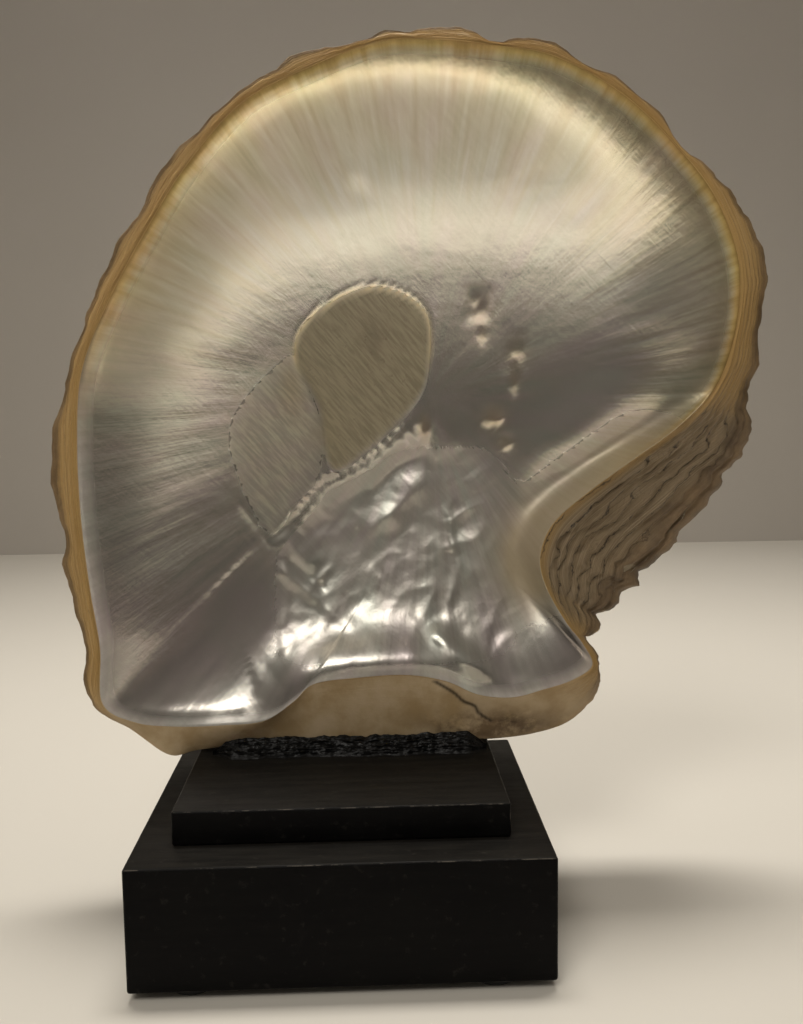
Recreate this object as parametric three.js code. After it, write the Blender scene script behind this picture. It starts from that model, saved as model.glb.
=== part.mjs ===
// One valve of a pearl oyster, standing on its hinge on a stepped, black-painted wooden stand.
// Millimetres, +Z up. The nacre faces -Y. The pieces are laid out from the centre of the plinth's
// underside, and the whole is then set on z = 0 with its middle at the origin.
import * as THREE from "three";
import { mergeVertices } from "three/addons/utils/BufferGeometryUtils.js";

// Stand
const PLINTH_WIDTH = 100;
const PLINTH_DEPTH = 85;
const PLINTH_HEIGHT = 30;
const STEP_WIDTH = 81.5;
const STEP_DEPTH = 66;
const STEP_HEIGHT = 8.6;
const STEP_SETBACK = 12;
const EASED_EDGE = 0.5;
const FOOT_RADIUS = 6;
const FOOT_HEIGHT = 2.2;
const FOOT_ROUNDING = 0.8;
const FOOT_SIDES = 24;
const FOOT_INSET_X = 14;
const FOOT_INSET_Y = 8;

const MIDDLE_X = 20.3; // half way between the shell's two sides
const STEP_TOP = PLINTH_HEIGHT + STEP_HEIGHT;
const STEP_Y = -PLINTH_DEPTH / 2 + STEP_SETBACK + STEP_DEPTH / 2;

// Shell
const RIM_Y = 7.5; // plane of the nacre's edge
const DISC = { x: 18, z: 140, width: 94, height: 92 }; // the hollow's centre and half sizes
const BOWL_DEPTH = 18;
const DOME = { x: 18, z: 128, width: 104, height: 108 }; // the same for the back
const DOME_FOOT_Y = 14;
const DOME_TOP_Y = 35.5;
const UMBO = new THREE.Vector2(20, 58);
const UMBO_SWELL = { width: 30, height: 20, rise: 7 };
const HUB = new THREE.Vector2(24, 104); // the mesh of the hollow fans out from here
const EDGE_THICKNESS = 2.5;
const HINGE_THICKNESS = 14;
const BED_HEIGHT = 1.6; // paste between the step and the hinge
const HINGE_Z = STEP_TOP + BED_HEIGHT;

// The valve's edge, clockwise as the nacre is seen, from the lower corner of the rear side.
// Each row: where the nacre ends (x, z), the outermost lamella (x, z) and its depth y, and how far
// the nacre's edge lies behind the rim's plane where it does.
const EDGE = [
  // rear side, a golden lip
  [-65.5, 54.5, -69, 53, 11.5],
  [-65.5, 70, -71.5, 69, 12.5],
  [-67.5, 86.5, -75, 86.5, 12.5],
  [-69, 106, -76, 105, 12.5],
  [-69, 126, -76.5, 125, 12.5],
  [-67, 144, -71, 145, 12.5],
  [-60, 160.5, -64, 163, 12.5],
  [-50, 178, -56, 179.5, 12.5],
  // top, a thin edge
  [-38, 196, -42, 198.5, 11.5],
  [-23, 212, -26, 214.5, 11.5],
  [-6, 220.5, -9, 224.5, 11.5],
  [12, 227, 9, 229, 11.5],
  [27, 227.5, 26, 232.5, 12.5],
  [43, 226, 42.5, 229, 11.5],
  [58.5, 223, 59, 227, 11.5],
  [76, 213.5, 78, 216.5, 11.5],
  // front side, where the lamellae fan out behind the nacre
  [91, 199.5, 94, 201.5, 12.5],
  [101, 186.5, 107, 188.5, 14],
  [107, 171, 116.5, 173, 15],
  [107, 155, 117, 157, 17],
  [102, 138.5, 115.5, 138, 19.5],
  [92, 127.5, 114.5, 124, 21.5],
  [79, 118, 109.5, 112, 24.5, 1],
  // byssal notch
  [67.5, 109.5, 101, 98.5, 27.5, 2.5],
  [58.5, 101, 92, 88.5, 29.5, 4.5],
  [55, 92, 85, 78.5, 29.5, 5],
  [56.5, 83.5, 77, 71.5, 28, 4.5],
  [61.5, 74, 71, 67.5, 22, 2],
  [66, 68, 70, 65.5, 15.5],
  // front ear
  [68.5, 62, 72.5, 59, 13.5],
  [63, 58, 71, 51, 15],
  [55, 55.5, 63.5, 44, 15],
  [46.5, 53.5, 54, 41.2, 14],
  // hinge, resting on the paste
  [37, 54.5, 43, HINGE_Z, 13],
  [28, 58.5, 30.5, HINGE_Z, 12.5],
  [17, 60.5, 18, HINGE_Z, 12.5],
  [4, 60, 4, HINGE_Z, 12.5],
  [-8, 58.5, -10, HINGE_Z, 12.5],
  [-14, 53.5, -21, HINGE_Z, 12.5],
  [-22, 48.5, -32, HINGE_Z, 12],
  [-34, 47.5, -41, 39.6, 11],
  [-46, 47.5, -48.5, 38.8, 10],
  [-57, 49, -58, 45.5, 10.5],
];
const HINGE_FIRST = 33; // rows of EDGE that stand on the paste
const HINGE_LAST = 40;

// Relief of the nacre: each mound is [x, z, radius along x, radius along z, height towards the viewer]
const MOUNDS = [
  [14, 68, 20, 6, 4], // swell above the hinge
  [46, 58, 16, 4, 3], // ridge running into the ear
  [9, 101, 10, 8, 2.4], // puckered folds below the muscle scar
  [-12, 92, 9, 5, 2],
  [-6, 80, 9, 4, 1.6],
  [39, 159, 4.5, 8, 1.6], // blisters beside the scar
  [49.5, 145, 4.5, 8, 1.6],
  [44.5, 128, 6, 6, 1.8],
];
const SCAR = { x: 8, z: 142, radius: 20, depth: 1.2, border: 2.5 }; // seat of the closing muscle

// Mesh density
const ROUND = EDGE.length * 3;
const BOWL_RINGS = 12;

const LEDGES = 6; // lamellae across the lip
const LEDGE_RISE = 0.06; // ledge height over the lip's width
const BACK_LEDGES = 6; // growth ledges on the back
const BACK_LEDGE_RISE = 1.1;
const FREE_EDGE = 0.86; // a lamella climbs to its free edge here, then drops to the next one's root

const smooth = (a, b, v) => THREE.MathUtils.smoothstep(v, a, b);
const mix = THREE.MathUtils.lerp;

// Closed curves through the edge's rows.
function closedCurve(points) {
  return new THREE.CatmullRomCurve3(points, true, "catmullrom", 0.5);
}

function isHinge(row) {
  return row >= HINGE_FIRST && row <= HINGE_LAST;
}

function edgeCurves() {
  return {
    nacre: closedCurve(EDGE.map(([x, z, , , , behind = 0]) => new THREE.Vector3(x, RIM_Y + behind, z))),
    lip: closedCurve(EDGE.map(([, , x, z, y]) => new THREE.Vector3(x, y, z))),
    back: closedCurve(
      EDGE.map(([, , x, z, y], row) => {
        const thickness = isHinge(row) ? HINGE_THICKNESS : EDGE_THICKNESS;
        return new THREE.Vector3(x, y + thickness, z);
      }),
    ),
  };
}

// 1 at the middle of an oval, falling like a shallow dish and levelling out past its edge.
function dish(x, z, oval) {
  const inside = 1 - ((x - oval.x) / oval.width) ** 2 - ((z - oval.z) / oval.height) ** 2;
  return 0.5 * (inside + Math.sqrt(inside * inside + 0.02));
}

function mound(x, z, [cx, cz, rx, rz, height]) {
  const u = (x - cx) / rx;
  const v = (z - cz) / rz;
  return height * Math.exp(-u * u - v * v);
}

// Depth of the nacre's surface, before it meets its edge.
function hollowY(x, z) {
  const raised = MOUNDS.reduce((sum, m) => sum + mound(x, z, m), 0);
  const fromScar = Math.hypot(x - SCAR.x, z - SCAR.z);
  const sunk = SCAR.depth * (1 - smooth(SCAR.radius - SCAR.border, SCAR.radius, fromScar));
  return RIM_Y + BOWL_DEPTH * dish(x, z, DISC) + sunk - raised;
}

function domeY(x, z) {
  const swell = mound(x, z, [UMBO.x, UMBO.y, UMBO_SWELL.width, UMBO_SWELL.height, UMBO_SWELL.rise]);
  return mix(DOME_FOOT_Y, DOME_TOP_Y, dish(x, z, DOME)) + swell;
}

// Share 0 at the hub, 1 at the nacre's edge.
function hollowPoint(nacre, share) {
  const x = mix(HUB.x, nacre.x, share);
  const z = mix(HUB.y, nacre.z, share);
  return new THREE.Vector3(x, mix(hollowY(x, z), nacre.y, share ** 8), z);
}

// From the nacre's edge out to the outermost lamella; wide stretches fall away first and then flatten.
// The ledges die out towards the hinge.
function lipPoint(nacre, lip, share, climb) {
  const width = Math.hypot(lip.x - nacre.x, lip.z - nacre.z);
  const power = mix(1.2, 0.75, smooth(10, 30, width));
  const p = new THREE.Vector3().lerpVectors(nacre, lip, share);
  const rise = LEDGE_RISE * width * smooth(42, 62, lip.z);
  p.y = mix(nacre.y, lip.y, share ** power) - rise * climb;
  return p;
}

// Growth rings about the umbo: share 1 at the edge, 0 at the umbo.
function backPoint(back, share, climb) {
  const x = mix(UMBO.x, back.x, share);
  const z = mix(UMBO.y, back.z, share);
  const y = mix(domeY(x, z), back.y, share ** 6) + BACK_LEDGE_RISE * climb;
  return new THREE.Vector3(x, y, z);
}

// Closed surface from rings of points, each ring given as a function of the place round the edge.
function closedFromRings(first, rings, last) {
  const positions = [first, ...rings.flat(), last].flatMap((p) => [p.x, p.y, p.z]);
  const at = (ring, i) => 1 + ring * ROUND + (i % ROUND);
  const end = 1 + rings.length * ROUND;
  const index = [];
  for (let i = 0; i < ROUND; i++) {
    index.push(0, at(0, i + 1), at(0, i));
    for (let ring = 0; ring + 1 < rings.length; ring++) {
      const [a, b] = [at(ring, i), at(ring, i + 1)];
      const [c, d] = [at(ring + 1, i), at(ring + 1, i + 1)];
      index.push(a, b, c, b, d, c);
    }
    index.push(at(rings.length - 1, i), at(rings.length - 1, i + 1), end);
  }
  const geometry = new THREE.BufferGeometry();
  geometry.setAttribute("position", new THREE.Float32BufferAttribute(positions, 3));
  geometry.setIndex(index);
  return geometry;
}

function shellGeometry() {
  const curves = edgeCurves();
  const places = Array.from({ length: ROUND }, (_, i) => {
    const t = i / ROUND;
    return {
      nacre: curves.nacre.getPoint(t),
      lip: curves.lip.getPoint(t),
      back: curves.back.getPoint(t),
    };
  });
  const ring = (make) => places.map(make);
  const rings = [];
  for (let k = 1; k <= BOWL_RINGS; k++) {
    rings.push(ring((p) => hollowPoint(p.nacre, k / BOWL_RINGS)));
  }
  for (let k = 0; k < LEDGES; k++) {
    const climb = k + 1 < LEDGES ? 1 : 0;
    rings.push(ring((p) => lipPoint(p.nacre, p.lip, (k + FREE_EDGE) / LEDGES, climb)));
    rings.push(ring((p) => lipPoint(p.nacre, p.lip, (k + 1) / LEDGES, 0)));
  }
  rings.push(ring((p) => p.back));
  for (let k = BACK_LEDGES - 1; k >= 1; k--) {
    rings.push(ring((p) => backPoint(p.back, (k + FREE_EDGE) / BACK_LEDGES, 1)));
    rings.push(ring((p) => backPoint(p.back, k / BACK_LEDGES, 0)));
  }
  const centre = new THREE.Vector3(HUB.x, hollowY(HUB.x, HUB.y), HUB.y);
  const umbo = new THREE.Vector3(UMBO.x, domeY(UMBO.x, UMBO.y), UMBO.y);
  return closedFromRings(centre, rings, umbo);
}

// A board with eased edges, its underside at z = 0.
function boardGeometry(width, depth, height) {
  const [x, y] = [width / 2 - EASED_EDGE, depth / 2 - EASED_EDGE];
  const outline = new THREE.Shape([
    new THREE.Vector2(-x, -y),
    new THREE.Vector2(x, -y),
    new THREE.Vector2(x, y),
    new THREE.Vector2(-x, y),
  ]);
  return new THREE.ExtrudeGeometry(outline, {
    depth: height - 2 * EASED_EDGE,
    bevelEnabled: true,
    bevelThickness: EASED_EDGE,
    bevelSize: EASED_EDGE,
    bevelSegments: 1,
  }).translate(0, 0, EASED_EDGE);
}

function footGeometry() {
  const flat = FOOT_RADIUS - FOOT_ROUNDING;
  const profile = [
    [0, -FOOT_HEIGHT],
    [flat, -FOOT_HEIGHT],
    [FOOT_RADIUS, -FOOT_HEIGHT + FOOT_ROUNDING],
    [FOOT_RADIUS, 0],
    [0, 0],
  ].map(([r, z]) => new THREE.Vector2(r, z));
  return new THREE.LatheGeometry(profile, FOOT_SIDES).rotateX(Math.PI / 2);
}

// Black paste: a bed under the hinge with a ragged fillet against the shell's front.
const PASTE_LEFT = -36;
const PASTE_RIGHT = 39;
const PASTE_SECTIONS = 26;
const PASTE_TOE_Y = 5.5;
const PASTE_BACK_Y = 28;
const PASTE_GAP = 0.35; // clear of the shell
const PASTE_RISE = 4.2;

function pasteSection(x) {
  const ends = smooth(PASTE_LEFT, PASTE_LEFT + 6, x) * (1 - smooth(PASTE_RIGHT - 6, PASTE_RIGHT, x));
  const ragged = 0.35 * Math.sin(x * 0.83) + 0.25 * Math.sin(x * 2.1 + 1);
  const rise = mix(1.4, PASTE_RISE + ragged, ends);
  const toe = PASTE_TOE_Y + 0.5 * Math.sin(x * 0.31) + mix(3.5, 0, ends);
  const under = HINGE_Z - PASTE_GAP;
  return [
    [toe, STEP_TOP],
    [mix(toe, 10.2, 0.55), STEP_TOP + 0.55 * rise],
    [10.2, STEP_TOP + rise],
    [11.2, under],
    [PASTE_BACK_Y - 1, under],
    [PASTE_BACK_Y, STEP_TOP],
  ];
}

function pasteGeometry() {
  const count = pasteSection(0).length;
  const positions = [];
  for (let k = 0; k <= PASTE_SECTIONS; k++) {
    const x = mix(PASTE_LEFT, PASTE_RIGHT, k / PASTE_SECTIONS);
    pasteSection(x).forEach(([y, z]) => positions.push(x, y, z));
  }
  const index = [];
  for (let k = 0; k < PASTE_SECTIONS; k++) {
    for (let i = 0; i < count; i++) {
      const a = k * count + i;
      const b = k * count + ((i + 1) % count);
      index.push(a, a + count, b, b, a + count, b + count);
    }
  }
  const outline = pasteSection(0).map(([y, z]) => new THREE.Vector2(y, z));
  const last = PASTE_SECTIONS * count;
  THREE.ShapeUtils.triangulateShape(outline, []).forEach(([a, b, c]) => {
    index.push(a, c, b, last + a, last + b, last + c);
  });
  const geometry = new THREE.BufferGeometry();
  geometry.setAttribute("position", new THREE.Float32BufferAttribute(positions, 3));
  geometry.setIndex(index);
  return geometry;
}

const nacre = new THREE.MeshStandardMaterial({ color: 0xb9ad97, roughness: 0.35, metalness: 0.2 });
const blackPaint = new THREE.MeshStandardMaterial({ color: 0x14130f, roughness: 0.45, metalness: 0 });
const blackPaste = new THREE.MeshStandardMaterial({ color: 0x0b0a09, roughness: 0.6, metalness: 0 });
const blackRubber = new THREE.MeshStandardMaterial({ color: 0x111112, roughness: 0.8, metalness: 0 });

function piece(name, geometry, material) {
  geometry.deleteAttribute("normal");
  geometry.deleteAttribute("uv");
  const mesh = new THREE.Mesh(mergeVertices(geometry), material);
  mesh.geometry.computeVertexNormals();
  mesh.name = name;
  return mesh;
}

const stand = new THREE.Group();
stand.add(piece("plinth", boardGeometry(PLINTH_WIDTH, PLINTH_DEPTH, PLINTH_HEIGHT), blackPaint));

const step = piece("step", boardGeometry(STEP_WIDTH, STEP_DEPTH, STEP_HEIGHT), blackPaint);
step.position.set(0, STEP_Y, PLINTH_HEIGHT);
stand.add(step);

for (const [side, sx] of [["left", -1], ["right", 1]]) {
  for (const [end, sy] of [["front", -1], ["back", 1]]) {
    const foot = piece(`foot_${end}_${side}`, footGeometry(), blackRubber);
    foot.position.x = sx * (PLINTH_WIDTH / 2 - FOOT_INSET_X);
    foot.position.y = sy * (PLINTH_DEPTH / 2 - FOOT_INSET_Y);
    stand.add(foot);
  }
}

const object = new THREE.Group();
object.position.set(-MIDDLE_X, 0, FOOT_HEIGHT);
object.add(stand);
object.add(piece("shell", shellGeometry(), nacre));
object.add(piece("paste", pasteGeometry(), blackPaste));

export default object;
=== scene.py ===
"""A pearl oyster valve on its black stand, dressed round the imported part.

The scene is in metres, +Z up, with the nacre facing -Y. Named sizes are in millimetres.
"""

import math

import bmesh
import bpy
import numpy as np
from mathutils import Matrix, Vector


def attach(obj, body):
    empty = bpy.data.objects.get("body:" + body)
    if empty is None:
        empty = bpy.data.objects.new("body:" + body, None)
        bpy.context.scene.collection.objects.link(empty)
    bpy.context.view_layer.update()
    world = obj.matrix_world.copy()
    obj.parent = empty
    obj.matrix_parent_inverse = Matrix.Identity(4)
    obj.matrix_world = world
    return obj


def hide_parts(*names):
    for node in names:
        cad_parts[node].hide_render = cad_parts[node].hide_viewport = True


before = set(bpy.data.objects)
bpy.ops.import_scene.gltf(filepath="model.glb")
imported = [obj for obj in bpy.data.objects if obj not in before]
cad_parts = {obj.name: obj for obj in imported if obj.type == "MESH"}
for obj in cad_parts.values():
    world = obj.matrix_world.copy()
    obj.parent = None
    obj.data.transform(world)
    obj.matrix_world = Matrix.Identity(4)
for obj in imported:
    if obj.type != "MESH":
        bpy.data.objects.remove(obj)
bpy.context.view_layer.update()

MM = 0.001
ORIGIN_SHIFT = Vector((-20.3, 0, 2.2)) * MM  # from the plinth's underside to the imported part's origin

# Stand
PLINTH_WIDTH, PLINTH_DEPTH, PLINTH_HEIGHT = 100, 85, 30
STEP_WIDTH, STEP_DEPTH, STEP_HEIGHT = 81.5, 66, 8.6
STEP_SETBACK = 12
STEP_TOP = PLINTH_HEIGHT + STEP_HEIGHT
STEP_Y = -PLINTH_DEPTH / 2 + STEP_SETBACK + STEP_DEPTH / 2
FOOT_HEIGHT = 2.2
WORN_EDGE = 0.7
ARRIS_STEPS = 4

# Paste: its ends, its front toe and the foot of the shell that it holds
PASTE_LEFT, PASTE_RIGHT = -36.5, 39.5
PASTE_END = 6
PASTE_LOW, PASTE_HIGH = 1.5, 4.3
PASTE_TOE, PASTE_END_SETBACK = 5.6, 3.5
PASTE_FACE, PASTE_CREST, PASTE_UNDER, PASTE_BACK, PASTE_HEEL = 10.4, 10.3, 11.3, 27.0, 28.0
PASTE_OVERLAP = 0.3
STROKE_HEIGHT = 0.22
PASTE_RUNS, PASTE_SIDES = 260, 34

# Shell. An oval is its centre x, z and its half width and half height
RIM_Y = 7.5
DISC = (18, 140, 94, 92)
DISC_SOFT = 0.02
BOWL_DEPTH = 18
CORNER_ANGLE, CORNER_SPAN, CORNER_REACH = -2.37, 0.55, 0.34
DOME = (18, 128, 104, 108)
DOME_FOOT_Y, DOME_TOP_Y = 14, 35.5
UMBO = (20, 58)
UMBO_SWELL = (20, 58, 30, 20, 7)
HUB = (24, 104)
EDGE_THICKNESS = 2.5
HINGE_THICKNESS = 14
BED_HEIGHT = 1.6
HINGE_Z = STEP_TOP + BED_HEIGHT
HINGE_ROWS = range(33, 41)
HINGE_TOP_ROWS = range(32, 41)
HINGE_SLOPE, HINGE_LIFT = 9, 0.85
NOTCH_ROWS = range(20, 29)
NOTCH_DEPTH, NOTCH_SLOPE = 3.5, 9
EDGE_TURN, RELIEF_FADE = 8, 10
SHEET_RISE, LEAST_RISE, SHEET_ROUGH = 0.05, 0.6, 0.4
LEDGE_RISE, CRUST_ROUGH = 1.3, 0.5

# The valve's edge, clockwise as the nacre is seen, from the lower corner of the rear side.
# Each row: nacre's edge x, z; outermost lamella x, z and depth y; how far the nacre's edge is set back.
EDGE = np.array([
    (-65.5, 54.5, -69, 53, 11.5, 0),
    (-65.5, 70, -71.5, 69, 12.5, 0),
    (-67.5, 86.5, -75, 86.5, 12.5, 0),
    (-69, 106, -76, 105, 12.5, 0),
    (-69, 126, -76.5, 125, 12.5, 0),
    (-67, 144, -71, 145, 12.5, 0),
    (-60, 160.5, -64, 163, 12.5, 0),
    (-50, 178, -56, 179.5, 12.5, 0),
    (-38, 196, -42, 198.5, 11.5, 0),
    (-23, 212, -26, 214.5, 11.5, 0),
    (-6, 220.5, -9, 224.5, 11.5, 0),
    (12, 227, 9, 229, 11.5, 0),
    (27, 227.5, 26, 232.5, 12.5, 0),
    (43, 226, 42.5, 229, 11.5, 0),
    (58.5, 223, 59, 227, 11.5, 0),
    (76, 213.5, 78, 216.5, 11.5, 0),
    (91, 199.5, 94, 201.5, 12.5, 0),
    (101, 186.5, 107, 188.5, 14, 0),
    (107, 171, 116.5, 173, 15, 0),
    (107, 155, 117, 157, 17, 0),
    (102, 138.5, 115.5, 138, 19.5, 0),
    (92, 127.5, 114.5, 124, 21.5, 0),
    (79, 118, 109.5, 112, 24.5, 1),
    (67.5, 109.5, 101, 98.5, 27.5, 2.5),
    (58.5, 101, 92, 88.5, 29.5, 4.5),
    (55, 92, 85, 78.5, 29.5, 5),
    (56.5, 83.5, 77, 71.5, 28, 4.5),
    (61.5, 74, 71, 67.5, 22, 2),
    (66, 68, 70, 65.5, 15.5, 0),
    (68.5, 62, 72.5, 59, 13.5, 0),
    (63, 58, 71, 51, 15, 0),
    (55, 55.5, 63.5, 44, 15, 0),
    (46.5, 53.5, 54, 41.2, 14, 0),
    (37, 54.5, 43, HINGE_Z, 13, 0),
    (28, 58.5, 30.5, HINGE_Z, 12.5, 0),
    (17, 60.5, 18, HINGE_Z, 12.5, 0),
    (4, 60, 4, HINGE_Z, 12.5, 0),
    (-8, 58.5, -10, HINGE_Z, 12.5, 0),
    (-14, 53.5, -21, HINGE_Z, 12.5, 0),
    (-22, 48.5, -32, HINGE_Z, 12, 0),
    (-34, 47.5, -41, 39.6, 11, 0),
    (-46, 47.5, -48.5, 38.8, 10, 0),
    (-57, 49, -58, 45.5, 10.5, 0),
])

# Mesh density of the shell
ROUND = 520
BOWL_RINGS = 92
LIP_RINGS = 46
BACK_LEDGES = 9
LIP_LEDGES = 8
FREE_EDGE = 0.86

# Heights of the nacre's relief
KNOT_HEIGHT, GROOVE_DEPTH, PLEAT_HEIGHT, BRUSH_HEIGHT, APRON_DEPTH = 0.5, 0.3, 0.07, 0.06, 1.7
FOLD_HEIGHT, WRINKLE_HEIGHT = 0.2, 0.06
SCAR_DEPTH, STREAKY_DEPTH, SCAR_LINE_HEIGHT = 0.4, 0.15, 0.2
RAY_HEIGHT, WAVE_HEIGHT = 0.05, 0.3

# Lines on the nacre: x, z of their points
SCAR = [(-11.8, 148.6), (-5.7, 159.5), (10.3, 166.3), (24, 160), (25.2, 146), (21.5, 134.5), (6, 120),
        (-2.7, 116.6), (-5.5, 133)]
STREAKY_SCAR = [(-11.8, 147.5), (-18.2, 144.8), (-28.6, 133.3), (-31, 125), (-29.5, 116.7),
                (-25.4, 105.5), (-19.4, 98.3), (-10.7, 108.6), (-5.8, 115.5), (-5.5, 133)]
PUCKERED_ROW = [(-21.6, 97.3), (-14.9, 103.7), (-10.7, 108.6), (-6.7, 113.3), (-1.6, 116), (6.1, 120.1),
                (14.2, 127), (22, 135)]
# Each crease: points, half width, height towards the viewer
CREASES = [
    ([(22.7, 72.5), (28.5, 68.4), (33.9, 64.7), (42.2, 58.2), (47.1, 55.8), (56.8, 55.9), (64, 57)],
     2.4, 1.0),
    ([(-18.9, 99.4), (-14.5, 95.4), (-9.8, 91.1), (-5.7, 87.1)], 2.2, 0.6),
    ([(-19.2, 90.4), (-14.6, 86.3), (-10.7, 82.9), (-3.6, 76.4), (4.7, 71.6)], 1.7, 0.6),
    ([(-17, 92.5), (-11.8, 87.6), (-3.5, 80.7)], 1.3, -0.5),
    ([(-29.4, 109.7), (-25.4, 103.2), (-21.4, 97), (-18.4, 93.3)], 0.9, 0.25),
    ([(-17.5, 93.9), (-14.9, 83.1), (-16.3, 76.4), (-17.1, 70.3), (-15.8, 63.4)], 0.9, 0.25),
    ([(28.1, 105.6), (30.8, 101.9), (31.2, 95.7), (32.8, 89), (31.8, 84.3), (29.6, 76.4), (30, 72.4)],
     1.2, 0.3),
    ([(25.7, 114.7), (19.5, 108.7), (14.2, 102.8), (12.3, 96)], 3.8, 1.0),
    ([(2, 106), (7, 100.5), (12, 96)], 2.6, 0.5),
    ([(7.2, 103.8), (10.8, 110.6), (17.9, 117.4), (26.7, 120.7)], 2.2, -0.5),
    ([(23.8, 70.6), (28.9, 67.2)], 0.7, -0.5),
    ([(3.9, 224), (4.5, 219), (5.1, 210), (5.2, 200), (7.4, 192)], 1.8, -0.25),
    ([(-62, 53), (-50, 51), (-36, 51), (-25, 52)], 1.4, 0.4),
]
# Each blister: x, z, half width, half height, rise
BLISTERS = [
    (39.9, 161, 3.4, 5, 0.35),
    (40.4, 153.2, 1.3, 2.6, 0.35),
    (50, 148.5, 3, 4.5, 0.3),
    (49.5, 140, 1.3, 3.5, 0.35),
    (43.6, 130.2, 3.4, 3.4, 0.5),
    (46.6, 123.1, 2.6, 2.6, 0.35),
    (23.9, 127.7, 1.6, 3.5, 0.5),
]
# Each swell and each spot of colour is stated in the same way
SWELLS = [
    (14, 64, 22, 5, 2.0),
    (27.7, 71.3, 4, 3, 0.5),
    (68, 121, 13, 12, 1.3),
    (80, 133, 13, 13, 1.3),
    (92, 154, 13, 16, 1.9),
]
# Long direction of the puckered row, and the corner that its folds are measured from
ROW_TURN = (-0.757, -0.653)
ROW_TOP = (22, 135)
FLAKY_END = (41, 44, 16, 4.5, 1.4)
# Line of a crack in the hinge plate, shown only as painted shade.
HINGE_CRACK = [(25.2, 58.4), (30.2, 55.1), (33, 52.4), (36, 51), (37.6, 48.5), (41, 46)]
MAUVE_SPOTS = [(-48, 72, 26, 22, 1), (62, 65, 9, 12, 1)]
TAN_SPOTS = [
    (50, 90, 8, 14, 0.6),
    (-13, 139, 4, 8, 0.8),
    (-4, 126, 5, 6, 0.6),
]
BROWN_STAIN = (9.8, 153.7, 3.5, 4.5, 1)
STREAK_CENTRE = (25.7, 135.3)

# Stage, in metres
TABLE_HALF, TABLE_FRONT = 1.6, -1.05
WALL_Y, WALL_TOP = 0.7, 1.6
# Each light: name, place, what it points at, width and length, watts, spread in degrees
LIGHTS = [
    ("ceiling_lamp", (0.02, 0.2, 1.4), (0.02, 0.2, 0), (0.7, 0.25), 1.9, 56),
    ("table_lamp", (-0.03, -0.7, 0.4), (-0.03, -0.7, 0), (0.8, 0.04), 4.2, 22),
    ("window", (-0.35, -0.8, 1.05), (0.02, 0, 0.13), (0.5, 0.5), 1.7, 90),
]
LAMP_COLOUR = (1.0, 0.965, 0.905)
ROOM_LOW, ROOM_HIGH = (0.07, 0.064, 0.057), (0.21, 0.193, 0.17)

# Camera, fitted to the stand's straight edges in the photograph
IMAGE_HEIGHT = 1024
FOCAL_PIXELS = 1039.86
SENSOR = 36
CLIP_START = 0.01
CAMERA_AT = (7.29, -270.82, 135.06)
CAMERA_YAW, CAMERA_PITCH, CAMERA_ROLL = 1.908, 6.079, -0.798


def smooth(low, high, value):
    t = np.clip((value - low) / (high - low), 0, 1)
    return t * t * (3 - 2 * t)


def mix(a, b, share):
    return a + (b - a) * share


def plane_noise(u, v, seed):
    """Smooth noise from -1 to 1 over a plane."""
    size = 64
    lattice = np.random.default_rng(seed).uniform(-1, 1, (size, size))
    i, j = np.floor(u).astype(int), np.floor(v).astype(int)
    a, b = smooth(0, 1, u - i), smooth(0, 1, v - j)
    low = mix(lattice[i % size, j % size], lattice[(i + 1) % size, j % size], a)
    high = mix(lattice[i % size, (j + 1) % size], lattice[(i + 1) % size, (j + 1) % size], a)
    return mix(low, high, b)


def rough_noise(u, v, seed, octaves=4):
    """Noise of ever finer grain, summed."""
    total = 0
    for k in range(octaves):
        total = total + plane_noise(u * 2**k, v * 2**k, seed + k) / 2**k
    return total


def spline(points, places, closed):
    """Catmull-Rom curve through the points; places count along the points."""
    points = np.asarray(points, float)
    count = len(points)
    i = np.floor(places).astype(int)
    t = (places - i)[:, None]
    pick = [i + k if closed else np.clip(i + k, 0, count - 1) for k in (-1, 0, 1, 2)]
    p0, p1, p2, p3 = (points[k % count] for k in pick)
    start, end = 0.5 * (p2 - p0), 0.5 * (p3 - p1)
    return (
        p1
        + start * t
        + (3 * (p2 - p1) - 2 * start - end) * t**2
        + (2 * (p1 - p2) + start + end) * t**3
    )


def along(points, x, z):
    """Signed distance from a smooth line, how far along it, and the line's length."""
    path = spline(points, np.linspace(0, len(points) - 1, 6 * len(points)), False)
    nearest = np.full(np.shape(x), 1e9)
    side = np.zeros(np.shape(x))
    run = np.zeros(np.shape(x))
    start = 0
    for (ax, az), (bx, bz) in zip(path[:-1], path[1:]):
        dx, dz = bx - ax, bz - az
        length = math.hypot(dx, dz)
        if length < 1e-6:
            continue
        t = np.clip(((x - ax) * dx + (z - az) * dz) / length**2, 0, 1)
        distance = np.hypot(x - ax - t * dx, z - az - t * dz)
        closer = distance < nearest
        nearest = np.where(closer, distance, nearest)
        across = (x - ax) * dz - (z - az) * dx
        side = np.where(closer, np.where(across < 0, -distance, distance), side)
        run = np.where(closer, start + t * length, run)
        start += length
    return side, run, start


def inside_depth(points, x, z):
    """Distance to a closed smooth line, positive inside it."""
    ring = spline(points, np.arange(0, len(points), 0.2), True)
    nearest = np.full(np.shape(x), 1e9)
    inside = np.zeros(np.shape(x), bool)
    for (ax, az), (bx, bz) in zip(ring, np.roll(ring, -1, axis=0)):
        dx, dz = bx - ax, bz - az
        t = np.clip(((x - ax) * dx + (z - az) * dz) / (dx * dx + dz * dz), 0, 1)
        nearest = np.minimum(nearest, np.hypot(x - ax - t * dx, z - az - t * dz))
        crosses = (az > z) != (bz > z)
        with np.errstate(divide="ignore", invalid="ignore"):
            inside ^= crosses & (x < ax + (z - az) / dz * dx)
    return np.where(inside, nearest, -nearest)


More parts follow.
